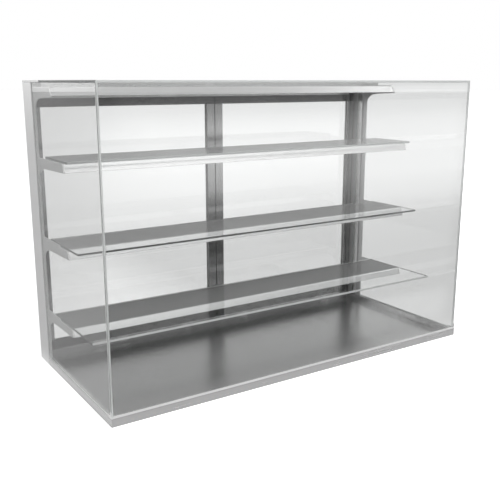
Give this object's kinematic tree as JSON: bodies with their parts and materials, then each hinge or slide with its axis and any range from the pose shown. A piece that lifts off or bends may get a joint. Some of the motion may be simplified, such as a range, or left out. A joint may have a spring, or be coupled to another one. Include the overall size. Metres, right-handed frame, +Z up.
{
  "type": "bakery display case",
  "caption": "Square glass countertop bakery case with a stainless base pan, lit cantilever shelves under a lit canopy, and hinged glass doors at the rear.",
  "frame": {"origin": "middle of the flat underside of the base pan, on the surface that the case stands on", "axes": "+X along the case to the right seen from the customer's side, +Y to the rear (the server's side with the doors), +Z up"},
  "size_m": [1.2, 0.548, 0.816],
  "materials": {
    "stainless": "brushed",
    "bright_trim": "polished",
    "door_aluminium": "satin anodised",
    "glass": "clear float glass",
    "glazing_seal": "matt",
    "light_diffuser": "opal",
    "driver_case": "matt",
    "black_plastic": "fine satin",
    "contact_metal": "nickel plated"
  },
  "bodies": {
    "case": {"base_pan": "stainless", "deck_plate": "stainless", "front_trim": "bright_trim", "left_corner_clip": "bright_trim", "right_corner_clip": "bright_trim", "left_glass_seal": "glazing_seal", "right_glass_seal": "glazing_seal", "front_glass": "glass", "left_side_glass": "glass", "right_side_glass": "glass", "top_glass": "glass", "left_rear_post": "stainless", "right_rear_post": "stainless", "rear_rail": "stainless", "top_cap": "stainless", "left_shelf_bracket": "stainless", "right_shelf_bracket": "stainless", "canopy_housing": "stainless", "canopy_light": "light_diffuser", "top_shelf_housing": "stainless", "top_shelf_light": "light_diffuser", "top_shelf_glass": "glass", "middle_shelf_housing": "stainless", "middle_shelf_light": "light_diffuser", "middle_shelf_glass": "glass", "bottom_shelf_housing": "stainless", "bottom_shelf_light": "light_diffuser", "bottom_shelf_glass": "glass", "wiring_cover": "stainless", "led_driver": "driver_case", "power_inlet": "black_plastic", "inlet_left_blade": "contact_metal", "inlet_right_blade": "contact_metal", "inlet_earth_blade": "contact_metal", "switch_bezel": "black_plastic", "door_catch": "black_plastic", "left_lower_pivot": "stainless", "left_lower_pivot_screw_1": "stainless", "left_lower_pivot_screw_2": "stainless", "left_upper_pivot": "stainless", "left_upper_pivot_screw_1": "stainless", "left_upper_pivot_screw_2": "stainless", "right_lower_pivot": "stainless", "right_lower_pivot_screw_1": "stainless", "right_lower_pivot_screw_2": "stainless", "right_upper_pivot": "stainless", "right_upper_pivot_screw_1": "stainless", "right_upper_pivot_screw_2": "stainless"},
    "left_door": {"left_door_frame": "door_aluminium", "left_door_glass": "glass", "left_door_pull": "stainless", "left_pull_lower_screw": "stainless", "left_pull_upper_screw": "stainless"},
    "right_door": {"right_door_frame": "door_aluminium", "right_door_glass": "glass", "right_door_pull": "stainless", "right_pull_lower_screw": "stainless", "right_pull_upper_screw": "stainless"},
    "rocker": {"light_switch": "black_plastic"}
  },
  "joints": [
    {"name": "left_door_hinge", "type": "hinge", "parent": "case", "child": "left_door", "pos_m": [-0.577, 0.259, 0.022], "axis": [0, 0, 1], "range_deg": [0, 105]},
    {"name": "right_door_hinge", "type": "hinge", "parent": "case", "child": "right_door", "pos_m": [0.577, 0.259, 0.022], "axis": [0, 0, -1], "range_deg": [0, 105]},
    {"name": "light_switch_rocker", "type": "hinge", "parent": "case", "child": "rocker", "pos_m": [0.438, 0.26683, 0.7946], "axis": [1, 0, 0], "range_deg": [0, 14]}
  ]
}
